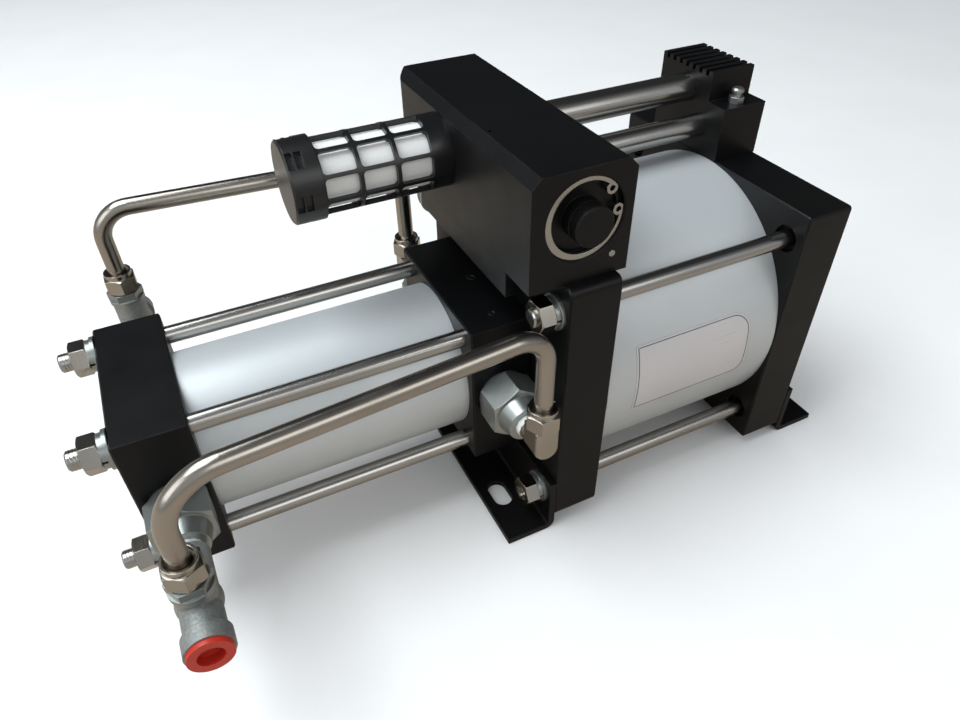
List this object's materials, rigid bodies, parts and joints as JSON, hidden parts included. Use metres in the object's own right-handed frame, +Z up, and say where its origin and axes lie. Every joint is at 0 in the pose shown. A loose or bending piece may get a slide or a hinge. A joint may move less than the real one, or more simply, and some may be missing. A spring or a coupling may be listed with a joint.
{
  "type": "air-driven gas booster pump",
  "caption": "Air-driven gas booster pump: large air cylinder, smaller gas cylinder on one rod, spool valve with muffler, check valves, bent tubes and slotted feet.",
  "frame": {"origin": "midway between the two slots of the centre foot, on the surface that the feet stand on", "axes": "+X along the pump from the gas cylinder to the air cylinder, +Y to the rear, +Z up"},
  "size_m": [0.4503, 0.2745, 0.238],
  "materials": {
    "black_anodised": "satin black anodised aluminium",
    "satin_aluminium": "satin drawn tube",
    "stainless": "bright drawn",
    "zinc_steel": "zinc plated",
    "castings": "as cast, pale grey",
    "plated_nuts": "polished stainless",
    "bronze": "machined",
    "seal_rubber": "matt",
    "black_plastic": "moulded",
    "white_filter": "porous felt",
    "red_plastic": "moulded",
    "spring_steel": "oiled"
  },
  "bodies": {
    "frame": {"barrel_seals": "seal_rubber", "boost_barrel": "satin_aluminium", "boost_end_cap": "black_anodised", "boost_tie_rods": "stainless", "cap_pilot_spring": "spring_steel", "centre_block": "black_anodised", "centre_block_screws": "zinc_steel", "centre_foot_bracket": "black_anodised", "centre_inlet_spring": "spring_steel", "centre_outlet_spring": "spring_steel", "check_valve_bodies": "zinc_steel", "check_valve_seats": "stainless", "drive_barrel": "satin_aluminium", "drive_end_cap": "black_anodised", "drive_head": "black_anodised", "drive_tie_rods": "stainless", "end_foot_bracket": "black_anodised", "end_foot_screws": "zinc_steel", "end_inlet_spring": "spring_steel", "end_outlet_spring": "spring_steel", "head_pilot_spring": "spring_steel", "inlet_tee": "castings", "inlet_tube": "stainless", "lower_transfer_tube": "stainless", "manifold_bar": "black_anodised", "manifold_screws": "zinc_steel", "muffler_cage": "black_plastic", "muffler_element": "white_filter", "muffler_end_cap": "black_plastic", "outlet_tee": "castings", "outlet_tube": "stainless", "pilot_guides": "bronze", "port_block": "black_anodised", "rod_bushes": "bronze", "rod_seals": "seal_rubber", "tie_rod_lock_washers": "zinc_steel", "tie_rod_nuts": "plated_nuts", "tie_rod_washers": "zinc_steel", "tube_connectors": "zinc_steel", "tube_elbows": "plated_nuts", "tube_nuts": "plated_nuts", "upper_transfer_tube": "stainless", "valve_body": "black_anodised", "valve_circlips": "stainless", "valve_end_plugs": "black_anodised", "vent_fitting": "zinc_steel"},
    "piston_assembly": {"drive_piston": "satin_aluminium", "drive_piston_seals": "seal_rubber", "piston_rod": "stainless", "piston_nuts": "zinc_steel", "boost_piston": "satin_aluminium", "boost_piston_seals": "seal_rubber"},
    "spool": {"spool": "satin_aluminium"},
    "head_pilot_stem": {"head_pilot_stem": "stainless"},
    "cap_pilot_stem": {"cap_pilot_stem": "stainless"},
    "end_outlet_poppet": {"end_outlet_poppet": "stainless"},
    "end_inlet_poppet": {"end_inlet_poppet": "stainless"},
    "centre_outlet_poppet": {"centre_outlet_poppet": "stainless"},
    "centre_inlet_poppet": {"centre_inlet_poppet": "stainless"},
    "outlet_plug": {"outlet_plug": "red_plastic"}
  },
  "joints": [
    {"name": "piston_stroke", "type": "slide", "parent": "frame", "child": "piston_assembly", "axis": [1, 0, 0], "range_m": [-0.04, 0.04]},
    {"name": "spool_shift", "type": "slide", "parent": "frame", "child": "spool", "axis": [0, 1, 0], "range_m": [0, 0.012]},
    {"name": "head_pilot_travel", "type": "slide", "parent": "frame", "child": "head_pilot_stem", "axis": [-1, 0, 0], "range_m": [0, 0.003], "stiffness_N_per_m": 1500, "springref_m": -0.004, "deforming": ["head_pilot_spring"]},
    {"name": "cap_pilot_travel", "type": "slide", "parent": "frame", "child": "cap_pilot_stem", "axis": [1, 0, 0], "range_m": [0, 0.003], "stiffness_N_per_m": 1500, "springref_m": -0.004, "deforming": ["cap_pilot_spring"]},
    {"name": "end_outlet_opening", "type": "slide", "parent": "frame", "child": "end_outlet_poppet", "axis": [0, -1, 0], "range_m": [0, 0.0025], "stiffness_N_per_m": 400, "springref_m": -0.003, "deforming": ["end_outlet_spring"]},
    {"name": "end_inlet_opening", "type": "slide", "parent": "frame", "child": "end_inlet_poppet", "axis": [0, -1, 0], "range_m": [0, 0.0025], "stiffness_N_per_m": 400, "springref_m": -0.003, "deforming": ["end_inlet_spring"]},
    {"name": "centre_outlet_opening", "type": "slide", "parent": "frame", "child": "centre_outlet_poppet", "axis": [0, -1, 0], "range_m": [0, 0.0025], "stiffness_N_per_m": 400, "springref_m": -0.003, "deforming": ["centre_outlet_spring"]},
    {"name": "centre_inlet_opening", "type": "slide", "parent": "frame", "child": "centre_inlet_poppet", "axis": [0, -1, 0], "range_m": [0, 0.0025], "stiffness_N_per_m": 400, "springref_m": -0.003, "deforming": ["centre_inlet_spring"]},
    {"name": "outlet_plug_pull", "type": "slide", "parent": "frame", "child": "outlet_plug", "axis": [0, -1, 0], "range_m": [0, 0.02]}
  ]
}
